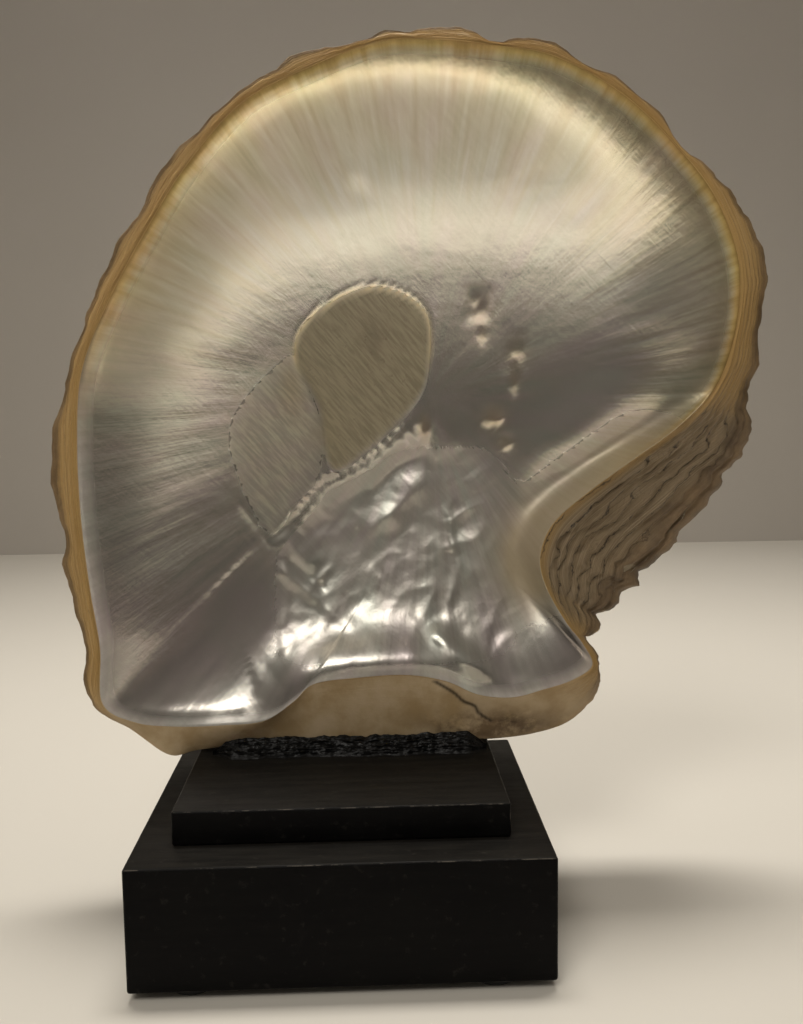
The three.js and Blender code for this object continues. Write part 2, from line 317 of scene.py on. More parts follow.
def mound(x, z, spot):
    """A soft round rise, or a soft spot of colour."""
    cx, cz, wide, high, rise = spot
    return rise * np.exp(-(((x - cx) / wide) ** 2) - ((z - cz) / high) ** 2)


def dish(x, z, oval):
    """From 1 in the middle of an oval to 0 at its rim and past it."""
    cx, cz, wide, high = oval
    inside = 1 - ((x - cx) / wide) ** 2 - ((z - cz) / high) ** 2
    return 0.5 * (inside + np.sqrt(inside * inside + DISC_SOFT))


def hollow(x, z):
    """How far the nacre lies behind the rim.

    Towards its lower rear corner it reaches past the oval, and it climbs to the hinge.
    """
    cx, cz, wide, high = DISC
    u, v = (x - cx) / wide, (z - cz) / high
    turn = (np.arctan2(v, u) - CORNER_ANGLE + math.pi) % (2 * math.pi) - math.pi
    reach = 1 + CORNER_REACH * np.exp(-((turn / CORNER_SPAN) ** 2))
    depth = BOWL_DEPTH * dish(cx + wide * u / reach, cz + high * v / reach, DISC)
    side, run, length = along(EDGE[HINGE_TOP_ROWS, :2], x, z)
    by_hinge = smooth(0, 14, run) * smooth(2, 26, length - run) * np.exp(-((side / HINGE_SLOPE) ** 2))
    return depth * (1 - HINGE_LIFT * by_hinge)


def notch_set_back(x, z):
    """How far the nacre turns back along the byssal notch."""
    side, run, length = along(EDGE[NOTCH_ROWS, :2], x, z)
    ends = smooth(6, 30, run) * smooth(4, 24, length - run)
    return NOTCH_DEPTH * ends * np.exp(-((side / NOTCH_SLOPE) ** 2))


def row_places(x, z):
    """Millimetres along the puckered row and across it."""
    along_row = ROW_TURN[0] * (x - ROW_TOP[0]) + ROW_TURN[1] * (z - ROW_TOP[1])
    across_row = ROW_TURN[0] * (z - ROW_TOP[1]) - ROW_TURN[1] * (x - ROW_TOP[0])
    return along_row, across_row


def puckered_row(x, z):
    """Knotted ridge where the muscle scar ends, its groove, and the pleated apron hanging from it."""
    side, run, length = along(PUCKERED_ROW, x, z)
    ends = smooth(0, 3, run) * smooth(0, 5, length - run)
    knots = 0.5 + 0.5 * np.sin(run * 2.1 + 2.5 * plane_noise(run * 0.4, side * 0.1, 3))
    strength = 0.7 + 0.5 * plane_noise(run * 0.25, side * 0, 4)
    ridge = KNOT_HEIGHT * strength * knots**2 * np.exp(-((side / 0.9) ** 2))
    groove = -GROOVE_DEPTH * np.exp(-(((side - 1.9) / 1.0) ** 2))
    wobble = 1.6 * plane_noise(run * 0.3, side * 0.15, 5)
    pleats = PLEAT_HEIGHT * np.sin(run * 1.65 + wobble) * np.exp(-(((side - 6.5) / 3.5) ** 2))
    brush = BRUSH_HEIGHT * np.sin(run * 3.4 + 2 * wobble) * np.exp(-(((side + 3) / 2) ** 2))
    hang = smooth(-4, 14, run) * smooth(-2, 20, length - run)
    apron = -APRON_DEPTH * smooth(0.5, 10, side) * smooth(46, 13, side) * hang
    return (ridge + groove + pleats + brush) * ends + apron, side


def crumple(x, z, side):
    """Folded nacre between the puckered row and the hinge."""
    across = smooth(-24, -12, x) * smooth(54, 36, x)
    upright = smooth(60, 68, z) * smooth(128, 114, z)
    region = smooth(2, 8, side) * across * upright
    down, out = row_places(x, z)
    fold = 1 - 2 * np.sqrt(rough_noise(down / 13, out / 7, 11, 2) ** 2 + 0.03)
    wrinkle = 1 - 2 * np.sqrt(rough_noise(down / 4, out / 5, 17, 2) ** 2 + 0.03)
    return region * (FOLD_HEIGHT * fold + WRINKLE_HEIGHT * wrinkle), region


def nacre_relief(x, z):
    """Height of the nacre's relief towards the viewer, and masks for its finish, painted shade and painted
    highlight.
    """
    row, side = puckered_row(x, z)
    folds, crumpled = crumple(x, z, side)
    height = row + folds
    for points, width, rise in CREASES:
        off, run, length = along(points, x, z)
        fade = 2 + 1.3 * width
        ends = smooth(0, fade, run) * smooth(0, fade, length - run)
        broken = 0.9 + 0.4 * plane_noise(run * 0.6 / width, off * 0.2 / width + rise, 19)
        height = height + rise * broken * ends * np.exp(-((off / width) ** 2))
    blister = 0
    for spot in BLISTERS:
        blister = blister + mound(x, z, spot)
    height = height + blister * (1 + 0.6 * rough_noise(x / 2.4, z / 2.4, 23, 2))
    for spot in SWELLS:
        height = height + mound(x, z, spot)
    scar_depth = inside_depth(SCAR, x, z)
    scar = smooth(-1, 1, scar_depth)
    # Low ridge along the scar's upper edge, which also carries a painted highlight.
    scar_ridge_and_glint = np.exp(-(((scar_depth + 0.4) / 0.7) ** 2)) * smooth(140, 150, z)
    streaky = smooth(-5, 6, inside_depth(STREAKY_SCAR, x, z)) * (1 - scar)
    height = height - SCAR_DEPTH * scar - STREAKY_DEPTH * streaky + SCAR_LINE_HEIGHT * scar_ridge_and_glint
    angle = np.arctan2(z - STREAK_CENTRE[1], x - STREAK_CENTRE[0])
    reach = np.hypot(x - STREAK_CENTRE[0], z - STREAK_CENTRE[1])
    far = smooth(35, 75, reach)
    rays = rough_noise(np.cos(angle) * 9 + 20, np.sin(angle) * 9 + 20 + reach / 120, 31, 3)
    waves = plane_noise(x / 52 + 9, z / 46 + 9, 41)
    height = height + RAY_HEIGHT * rays * far + WAVE_HEIGHT * waves * smooth(20, 50, reach)
    mauve = sum(mound(x, z, spot) for spot in MAUVE_SPOTS)
    tan = sum(mound(x, z, spot) for spot in TAN_SPOTS)
    masks = {
        "golden": np.maximum(smooth(115, 165, z), smooth(60, 85, x)),
        "tan": np.clip(tan + notch_set_back(x, z) / NOTCH_DEPTH, 0, 1),
        "stain": mound(x, z, BROWN_STAIN),
        "crumpled": crumpled,
        "mauve": mauve,
        # painted shade: darker below the middle of the bowl
        "painted_lower_shade": smooth(168, 140, z),
        "scar": scar,
        # low ridge and painted highlight along the scar's upper edge
        "scar_ridge_and_glint": scar_ridge_and_glint,
        "streaky_scar": streaky,
        "blister": np.clip(2 * blister, 0, 1),
    }
    return height, masks


def edge_curves():
    """Nacre's edge, outermost lamella and back edge round the valve, as x, y, z rows."""
    places = np.arange(ROUND) * len(EDGE) / ROUND
    nx, nz, ex, ez, ey, behind = EDGE.T
    thick = np.full(len(EDGE), float(EDGE_THICKNESS))
    thick[list(HINGE_ROWS)] = HINGE_THICKNESS
    nacre = spline(np.stack([nx, RIM_Y + behind, nz], 1), places, True)
    lip = spline(np.stack([ex, ey, ez], 1), places, True)
    back = spline(np.stack([ex, ey + thick, ez], 1), places, True)
    return places, nacre, lip, back


def ragged(places, lip, nacre):
    """How far the flaky edge juts out past its smooth line."""
    rough = rough_noise(places * 2.3, places * 0 + 5, 51, 3)
    chips = np.floor(3 * plane_noise(places * 3.1, places * 0 + 2, 57)) / 3
    free = smooth(42, 60, lip[:, 2])
    width = np.hypot(*(lip - nacre)[:, [0, 2]].T)
    return free * (0.9 * rough + 0.8 * chips) * mix(1, 1.8, smooth(10, 25, width))


def bowl(nacre):
    """Rings of the nacre from the hub to its edge, with marks for the finish."""
    share = np.linspace(0, 1, BOWL_RINGS + 1)[1:, None]
    x = mix(HUB[0], nacre[:, 0], share)
    z = mix(HUB[1], nacre[:, 2], share)
    relief, masks = nacre_relief(x, z)
    y = mix(RIM_Y + hollow(x, z) + notch_set_back(x, z), nacre[:, 1], share**EDGE_TURN)
    y = y - relief * (1 - share**RELIEF_FADE)
    radius = np.hypot(nacre[:, 0] - HUB[0], nacre[:, 2] - HUB[1])
    masks["from_edge"] = (1 - share) * radius
    return np.stack([x, y, z], -1), masks


def lip_band(places, nacre, lip):
    """Rings from the nacre's edge to the outermost lamella, in overlapping sheets."""
    share = np.linspace(0, 1, LIP_RINGS + 1)[1:, None]
    width = np.hypot(*(lip - nacre)[:, [0, 2]].T)
    free = smooth(42, 62, lip[:, 2])
    wall = smooth(9, 24, width) * free
    power = mix(1.2, 0.75, smooth(10, 30, width))
    wander = 0.5 * rough_noise(places * 1.3 + share * 2, share * 3 + 3, 61, 4)
    phase = np.clip(share * LIP_LEDGES + wander * smooth(0, 0.2, share) * smooth(1, 0.8, share), 0, None)
    step = phase - np.floor(phase)
    climb = np.where(step < FREE_EDGE, step / FREE_EDGE, (1 - step) / (1 - FREE_EDGE))
    ends = smooth(0, 0.1, share) * smooth(1, 0.93, share)
    fine = rough_noise(places * 0.9, share * 34, 67, 2)
    points = mix(nacre, lip, share[..., None])
    points[..., 1] = mix(nacre[:, 1], lip[:, 1], share**power)
    rise = np.maximum(SHEET_RISE * width, LEAST_RISE)
    points[..., 1] -= ends * (rise * free * climb + SHEET_ROUGH * wall * fine)
    shaded_crack = np.abs(along(HINGE_CRACK, points[..., 0], points[..., 2])[0])
    masks = {
        "across": share * width,
        "sheet": phase,
        "outer": share * np.ones_like(points[..., 0]),
        "flaky": np.clip(mound(points[..., 0], points[..., 2], FLAKY_END), 0, 1),
        # painted shade of a crack in the hinge plate
        "shaded_crack": smooth(0.8, 0.1, shaded_crack),
        "wall": wall * np.ones_like(share),
        "hinge": (1 - free) * np.ones_like(share),
    }
    return points, masks


def back_rings(places, back):
    """Growth rings about the umbo, from the edge inwards."""
    rows, grow = [back], [np.full(ROUND, float(BACK_LEDGES))]
    steps = np.array([0, 0.04, 0.2, 0.5, 0.8])
    for ledge in range(BACK_LEDGES - 1, -1, -1):
        for k, down in enumerate(steps):
            if ledge == BACK_LEDGES - 1 and k == 0:
                continue
            ring = (ledge + 1 - down) / BACK_LEDGES
            wander = 0.3 * rough_noise(places * 0.8, np.full(ROUND, ledge * 1.7), 71, 3) / BACK_LEDGES
            share = ring + wander * smooth(1, 0.9, ring) * smooth(0.05, 0.3, ring)
            x = mix(UMBO[0], back[:, 0], share)
            z = mix(UMBO[1], back[:, 2], share)
            y = mix(DOME_FOOT_Y, DOME_TOP_Y, dish(x, z, DOME)) + mound(x, z, UMBO_SWELL)
            y = mix(y, back[:, 1], share**6)
            climb = (1 - down) if k else 0
            loose = smooth(0.08, 0.3, ring) * smooth(1, 0.93, ring)
            y = y + loose * (LEDGE_RISE * climb + CRUST_ROUGH * rough_noise(x / 9, z / 9, 79, 3))
            rows.append(np.stack([x, y, z], 1))
            grow.append(np.full(ROUND, ring * BACK_LEDGES))
    return np.array(rows), np.array(grow)


def new_object(name, mesh, *materials):
    """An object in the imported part's frame."""
    for material in materials:
        mesh.materials.append(material)
    made = bpy.data.objects.new(name, mesh)
    made.location = ORIGIN_SHIFT
    bpy.context.collection.objects.link(made)
    return made


def ring_faces(rings, count):
    """Faces of a closed surface: a first point, rings of points, a last point."""
    i = np.arange(count)
    j = (i + 1) % count
    faces = [[0, 1 + b, 1 + a] for a, b in zip(i, j)]
    for ring in range(rings - 1):
        low, high = 1 + ring * count, 1 + (ring + 1) * count
        faces += np.stack([low + i, low + j, high + j, high + i], 1).tolist()
    low = 1 + (rings - 1) * count
    faces += [[low + a, low + b, 1 + rings * count] for a, b in zip(i, j)]
    return faces


def add_mark(mesh, name, values):
    """A value or a vector at each point, for the materials."""
    kind, key = ("FLOAT", "value") if values.ndim == 1 else ("FLOAT_VECTOR", "vector")
    layer = mesh.attributes.new(name, kind, "POINT")
    layer.data.foreach_set(key, np.ascontiguousarray(values.ravel(), np.float32))


def make_shell(nacre_finish, lip_finish, crust_finish):
    """The valve as one closed surface: nacre, lip and outer crust, ring by ring."""
    places, nacre, lip, back = edge_curves()
    outward = (lip - nacre) * (1, 0, 1)
    outward /= np.linalg.norm(outward, axis=1)[:, None]
    jut = ragged(places, lip, nacre)[:, None] * outward
    lip, back = lip + jut, back + 0.8 * jut
    bowl_points, bowl_marks = bowl(nacre)
    lip_points, lip_marks = lip_band(places, nacre, lip)
    back_points, growth = back_rings(places, back)
    rings = np.concatenate([bowl_points, lip_points, back_points])
    hub = [np.array(c, float) for c in HUB]
    hub_y = RIM_Y + hollow(*hub) - nacre_relief(*hub)[0]
    umbo_y = mix(DOME_FOOT_Y, DOME_TOP_Y, dish(*UMBO, DOME)) + UMBO_SWELL[4]
    first, last = (HUB[0], hub_y, HUB[1]), (UMBO[0], umbo_y, UMBO[1])
    points = np.concatenate([[first], rings.reshape(-1, 3), [last]])
    mesh = bpy.data.meshes.new("shell_valve")
    mesh.from_pydata((points * MM).tolist(), [], ring_faces(len(rings), ROUND))
    shape = rings.shape[:2]
    stretches = [
        (bowl_marks, 0, BOWL_RINGS),
        (lip_marks, BOWL_RINGS, BOWL_RINGS + LIP_RINGS),
        ({"growth": growth}, BOWL_RINGS + LIP_RINGS, len(rings)),
    ]
    for marks, start, end in stretches:
        for name, values in marks.items():
            full = np.zeros(shape)
            full[start:end] = values
            add_mark(mesh, name, np.concatenate([[full[0].mean()], full.ravel(), [0]]))
    angle = np.arctan2(points[:, 2] - STREAK_CENTRE[1], points[:, 0] - STREAK_CENTRE[0])
    reach = np.hypot(points[:, 2] - STREAK_CENTRE[1], points[:, 0] - STREAK_CENTRE[0])
    streak = np.stack([np.cos(angle) * 22, np.sin(angle) * 22, reach / 45], 1)
    add_mark(mesh, "streak", streak)
    add_mark(mesh, "row_grain", np.stack([*row_places(points[:, 0], points[:, 2]), points[:, 1]], 1))
    ring_of = np.concatenate([np.zeros(ROUND, int), np.repeat(np.arange(1, len(rings)), ROUND),
                              np.full(ROUND, len(rings))])
    finish = np.where(ring_of < BOWL_RINGS, 0, np.where(ring_of < BOWL_RINGS + LIP_RINGS, 1, 2))
    made = new_object("shell_valve", mesh, nacre_finish, lip_finish, crust_finish)
    mesh.polygons.foreach_set("material_index", finish.astype(np.int32))
    mesh.polygons.foreach_set("use_smooth", np.ones(len(finish), bool))
    mesh.update()
    return made


def make_board(name, width, depth, height, centre, finish):
    """A painted board with rounded arrises; its marks say where the arrises are."""
    form = bmesh.new()
    bmesh.ops.create_cube(form, size=1)
    bmesh.ops.scale(form, vec=(width * MM, depth * MM, height * MM), verts=form.verts)
    bmesh.ops.translate(form, vec=[c * MM for c in centre], verts=form.verts)
    bmesh.ops.bevel(form, geom=form.edges[:], offset=WORN_EDGE * MM, segments=ARRIS_STEPS, affect="EDGES",
                    profile=0.5)
    mesh = bpy.data.meshes.new(name)
    form.to_mesh(mesh)
    form.free()
    spots = np.array([v.co for v in mesh.vertices]) / MM - centre
    near = np.array([width, depth, height]) / 2 - np.abs(spots)
    arris = 1 - np.sort(near, axis=1)[:, 1] / WORN_EDGE
    add_mark(mesh, "arris", np.clip(arris, 0, 1))
    made = new_object(name, mesh, finish)
    mesh.polygons.foreach_set("use_smooth", np.ones(len(mesh.polygons), bool))
    mesh.set_sharp_from_angle(angle=math.radians(40))
    return made


def make_paste(finish):
    """Hardened black paste: a bed under the hinge with a brushed, ragged fillet in front."""
    runs, sides = PASTE_RUNS, PASTE_SIDES
    x = np.linspace(PASTE_LEFT, PASTE_RIGHT, runs)
    ends = smooth(PASTE_LEFT, PASTE_LEFT + PASTE_END, x) * smooth(PASTE_RIGHT, PASTE_RIGHT - PASTE_END, x)
    rise = mix(PASTE_LOW, PASTE_HIGH, ends) + 0.45 * rough_noise(x * 0.35, x * 0 + 1, 91, 3)
    toe = PASTE_TOE + mix(PASTE_END_SETBACK, 0, ends) + 0.7 * rough_noise(x * 0.2, x * 0 + 7, 93, 3)
    under = HINGE_Z - PASTE_OVERLAP
    corners = [
        (toe, np.full(runs, STEP_TOP)),
        (mix(toe, PASTE_FACE, 0.25), STEP_TOP + 0.42 * rise),
        (mix(toe, PASTE_FACE, 0.6), STEP_TOP + 0.75 * rise),
        (np.full(runs, PASTE_CREST), STEP_TOP + rise),
        (np.full(runs, PASTE_UNDER), np.full(runs, under)),
        (np.full(runs, PASTE_BACK), np.full(runs, under)),
        (np.full(runs, PASTE_HEEL), np.full(runs, STEP_TOP)),
    ]
    corner_y = np.array([c[0] for c in corners])
    corner_z = np.array([c[1] for c in corners])
    places = np.linspace(0, 3, sides - 3)
    y = np.array([np.interp(places, range(4), corner_y[:4, k]) for k in range(runs)])
    z = np.array([np.interp(places, range(4), corner_z[:4, k]) for k in range(runs)])
    long_strokes = rough_noise(x[:, None] * 0.25, places * 9, 95, 3)
    short_strokes = rough_noise(x[:, None], places * 5, 97, 2)
    inner = smooth(0, 0.4, places) * smooth(3, 2.7, places)
    strokes = STROKE_HEIGHT * (long_strokes + 0.6 * short_strokes) * inner
    y = y - strokes
    z = z + strokes
    y = np.concatenate([y, corner_y[4:].T], 1)
    z = np.concatenate([z, corner_z[4:].T], 1)
    points = np.stack([np.broadcast_to(x[:, None], y.shape), y, z], -1)
    faces = []
    for k in range(runs - 1):
        for i in range(sides):
            j = (i + 1) % sides
            faces.append([k * sides + i, (k + 1) * sides + i, (k + 1) * sides + j, k * sides + j])
    faces.append(list(range(sides)))
    faces.append(list(range((runs - 1) * sides, runs * sides))[::-1])
    mesh = bpy.data.meshes.new("paste_fillet")
    mesh.from_pydata((points.reshape(-1, 3) * MM).tolist(), [], faces)
    made = new_object("paste_fillet", mesh, finish)
    mesh.polygons.foreach_set("use_smooth", np.ones(len(mesh.polygons), bool))
    mesh.set_sharp_from_angle(angle=math.radians(50))
    return made


def add(tree, kind, inputs=None, **settings):
    """A node with its settings, and its inputs set or linked by name or number."""
    made = tree.nodes.new(kind)
    for name, value in settings.items():
        setattr(made, name, value)
    for name, value in (inputs or {}).items():
        if isinstance(value, bpy.types.NodeSocket):
            tree.links.new(value, made.inputs[name])
        else:
            made.inputs[name].default_value = value
    return made


def mark(tree, name, output="Fac"):
    """One of the mesh's own marks."""
    return add(tree, "ShaderNodeAttribute", attribute_name=name).outputs[output]


def blend(tree, share, a, b, way="MIX"):
    """Mix of two colours."""
    made = add(tree, "ShaderNodeMix", {0: share, 6: a, 7: b}, data_type="RGBA", blend_type=way)
    return made.outputs[2]


def calc(tree, way, a, b=0.0, c=0.0, clamp=False):
    made = add(tree, "ShaderNodeMath", {0: a, 1: b, 2: c}, operation=way, use_clamp=clamp)
    return made.outputs[0]


def ranged(tree, value, low, high, to_low=0.0, to_high=1.0, way="SMOOTHSTEP"):
    """A value brought from one range to another."""
    sockets = {"Value": value, "From Min": low, "From Max": high, "To Min": to_low, "To Max": to_high}
    return add(tree, "ShaderNodeMapRange", sockets, interpolation_type=way).outputs["Result"]


def ramp(tree, value, stops):
    """A colour for each stretch of a value."""
    made = add(tree, "ShaderNodeValToRGB", {"Fac": value})
    band = made.color_ramp.elements
    while len(band) < len(stops):
        band.new(0.5)
    for element, (place, colour) in zip(band, stops):
        element.position = place
        element.color = (*colour, 1)
    return made.outputs["Color"]


def noise(tree, where, scale, detail=4.0, rough=0.55):
    sockets = {"Vector": where, "Scale": scale, "Detail": detail, "Roughness": rough}
    return add(tree, "ShaderNodeTexNoise", sockets).outputs["Fac"]


def spot_on(tree):
    return add(tree, "ShaderNodeTexCoord").outputs["Object"]


def stretched(tree, where, scale):
    return add(tree, "ShaderNodeMapping", {"Vector": where, "Scale": scale}).outputs["Vector"]


def bump(tree, height, strength, distance, normal=None):
    sockets = {"Height": height, "Strength": strength, "Distance": distance}
    if normal is not None:
        sockets["Normal"] = normal
    return add(tree, "ShaderNodeBump", sockets).outputs["Normal"]


def rgb(*colour):
    return (*colour, 1.0)


def group(name, ins, outs):
    """An empty shader group with named value inputs and outputs."""
    tree = bpy.data.node_groups.new(name, "ShaderNodeTree")
    for label, kind, value in ins:
        socket = tree.interface.new_socket(name=label, in_out="INPUT", socket_type=kind)
        if value is not None:
            socket.default_value = value
    for label, kind in outs:
        tree.interface.new_socket(name=label, in_out="OUTPUT", socket_type=kind)
    return tree, tree.nodes.new("NodeGroupInput").outputs, tree.nodes.new("NodeGroupOutput").inputs


def mottle_group():
    """Cloudy and grainy variation, from 0 to 1."""
    ins = [("Scale", "NodeSocketFloat", 60.0), ("Grain", "NodeSocketFloat", 0.5)]
    outs = [("Cloud", "NodeSocketFloat"), ("Speck", "NodeSocketFloat")]
    tree, given, result = group("mottle", ins, outs)
    where = spot_on(tree)
    cloud = noise(tree, where, given["Scale"], 5.0, given["Grain"])
    fine = noise(tree, where, calc(tree, "MULTIPLY", given["Scale"], 9.0), 3.0, 0.6)
    tree.links.new(ranged(tree, cloud, 0.3, 0.7), result["Cloud"])
    tree.links.new(ranged(tree, fine, 0.6, 0.75), result["Speck"])
    return tree


def use_group(tree, shared, **values):
    made = tree.nodes.new("ShaderNodeGroup")
    made.node_tree = shared
    for name, value in values.items():
        made.inputs[name].default_value = value
    return made.outputs


def material(name):
    made = bpy.data.materials.new(name)
    made.use_nodes = True
    tree = made.node_tree
    shader = tree.nodes["Principled BSDF"]
    return made, tree, shader


def dress(tree, shader, colour, rough, normal=None, **constants):
    """Links what varies and sets what is the same all over."""
    tree.links.new(colour, shader.inputs["Base Color"])
    tree.links.new(rough, shader.inputs["Roughness"])
    if normal is not None:
        tree.links.new(normal, shader.inputs["Normal"])
    for name, value in constants.items():
        shader.inputs[name.replace("_", " ")].default_value = value


def grey(tree, value):
    return add(tree, "ShaderNodeCombineColor", {0: value, 1: value, 2: value}).outputs[0]


def nacre_colour(tree, edge, streaks, fibres):
    """Silver, golden towards its edge, darkened below the middle as painted shade, faintly mauve and
    green.
    """
    edge_wander = calc(tree, "MULTIPLY", edge, ranged(tree, streaks, 0.3, 0.7, 0.7, 1.3))
    body = ramp(tree, calc(tree, "DIVIDE", edge_wander, 60.0), [
        (0.0, (0.30, 0.19, 0.06)),
        (0.02, (0.52, 0.37, 0.14)),
        (0.06, (0.66, 0.57, 0.38)),
        (0.20, (0.72, 0.66, 0.52)),
        (0.60, (0.68, 0.65, 0.59)),
    ])
    body = blend(tree, mark(tree, "golden"), rgb(0.62, 0.585, 0.53), body)
    depth = ranged(tree, edge, 15.0, 60.0, 0.34, 0.10)
    swing = calc(tree, "SUBTRACT", streaks, 0.5)
    silver = calc(tree, "MULTIPLY_ADD", swing, calc(tree, "MULTIPLY", depth, 2.0), 0.97)
    silver = calc(tree, "MULTIPLY", silver, ranged(tree, fibres, 0.3, 0.7, 0.93, 1.03, "LINEAR"))
    # Painted shade: the silver is darkened below the middle of the bowl.
    painted_lower_shade = ranged(tree, mark(tree, "painted_lower_shade"), 0.0, 1.0, 1.0, 0.68, "LINEAR")
    silver = calc(tree, "MULTIPLY", silver, painted_lower_shade)
    body = blend(tree, 1.0, body, grey(tree, silver), "MULTIPLY")
    bands = noise(tree, stretched(tree, mark(tree, "streak", "Vector"), (0.35, 0.35, 2.2)), 1.0, 3.0, 0.5)
    tint = ramp(tree, bands, [
        (0.30, (0.62, 0.50, 0.58)),
        (0.50, (0.56, 0.54, 0.50)),
        (0.68, (0.47, 0.56, 0.50)),
    ])
    body = blend(tree, 0.3, body, tint, "OVERLAY")
    body = blend(tree, calc(tree, "MULTIPLY", mark(tree, "mauve"), 0.5), body, rgb(0.42, 0.35, 0.34))
    return blend(tree, calc(tree, "MULTIPLY", mark(tree, "tan"), 0.75), body, rgb(0.33, 0.255, 0.14))


def nacre_material(mottle):
    """Pearly nacre, duller and olive on the muscle scar, yellowish on the blisters."""
    made, tree, shader = material("nacre")
    streaks = noise(tree, mark(tree, "streak", "Vector"), 1.7, 6.0, 0.58)
    row_grain = mark(tree, "row_grain", "Vector")
    fibres = noise(tree, stretched(tree, row_grain, (1.3, 0.14, 0.2)), 1.0, 4.0, 0.6)
    edge = mark(tree, "from_edge")
    scar = mark(tree, "scar")
    streaky = mark(tree, "streaky_scar")
    body = nacre_colour(tree, edge, streaks, fibres)
    specks = use_group(tree, mottle, Scale=80.0, Grain=0.6)
    stain = calc(tree, "MULTIPLY_ADD", mark(tree, "stain"), calc(tree, "ADD", specks["Cloud"], 0.4),
                 calc(tree, "MULTIPLY", specks["Speck"], 0.6), True)
    olive = blend(tree, ranged(tree, fibres, 0.35, 0.65), rgb(0.185, 0.15, 0.085), rgb(0.27, 0.23, 0.14))
    olive = blend(tree, calc(tree, "MULTIPLY", stain, 0.75), olive, rgb(0.085, 0.05, 0.022))
    striped = blend(tree, ranged(tree, fibres, 0.4, 0.65), rgb(0.20, 0.175, 0.125), rgb(0.44, 0.38, 0.26))
    colour = blend(tree, calc(tree, "MULTIPLY", streaky, 0.5), body, striped)
    colour = blend(tree, calc(tree, "MULTIPLY", scar, 0.92), colour, olive)
    blister = calc(tree, "MULTIPLY", mark(tree, "blister"), 0.5)
    colour = blend(tree, blister, colour, rgb(0.50, 0.37, 0.20))
    # Painted highlight: pale colour along the scar's upper edge, over its low ridge.
    scar_ridge_and_glint = calc(tree, "MULTIPLY", mark(tree, "scar_ridge_and_glint"), 0.7)
    colour = blend(tree, scar_ridge_and_glint, colour, rgb(0.72, 0.60, 0.34))
    dull = calc(tree, "MAXIMUM", scar, calc(tree, "MULTIPLY", streaky, 0.4))
    dull = calc(tree, "MAXIMUM", dull, calc(tree, "MULTIPLY", mark(tree, "tan"), 0.8))
    rough = ranged(tree, dull, 0.0, 1.0, 0.19, 0.48, "LINEAR")
    rough = calc(tree, "MULTIPLY_ADD", streaks, 0.06, rough)
    rough = calc(tree, "MULTIPLY_ADD", mark(tree, "crumpled"), 0.13, rough)
    metal = ranged(tree, dull, 0.0, 1.0, 0.85, 0.15, "LINEAR")
    metal = calc(tree, "MULTIPLY", metal, ranged(tree, edge, 0.0, 5.0, 0.1, 1.0))
    tree.links.new(metal, shader.inputs["Metallic"])
    normal = bump(tree, streaks, ranged(tree, edge, 15.0, 50.0, 0.12, 0.04), 0.0004)
    pearl = noise(tree, spot_on(tree), 110.0, 5.0, 0.55)
    normal = bump(tree, pearl, ranged(tree, mark(tree, "crumpled"), 0.0, 1.0, 0.10, 0.25), 0.001, normal)
    normal = bump(tree, fibres, calc(tree, "MULTIPLY_ADD", dull, 0.05, 0.05), 0.0004, normal)
    dress(tree, shader, colour, rough, normal, Coat_Weight=0.2, Coat_Roughness=0.2, Specular_IOR_Level=0.5)
    return made


def crevice(tree, sheet, ragged_by, depth):
    """Mask of the crevice where one sheet of the lip ends and the next begins, darkened as painted shade.
    """
    swing = calc(tree, "SUBTRACT", ragged_by, 0.5)
    within = calc(tree, "FRACT", calc(tree, "MULTIPLY_ADD", swing, depth, sheet))
    start = ranged(tree, within, 0.0, 0.10, 1.0, 0.0)
    return calc(tree, "MAXIMUM", start, ranged(tree, within, 0.97, 1.0))


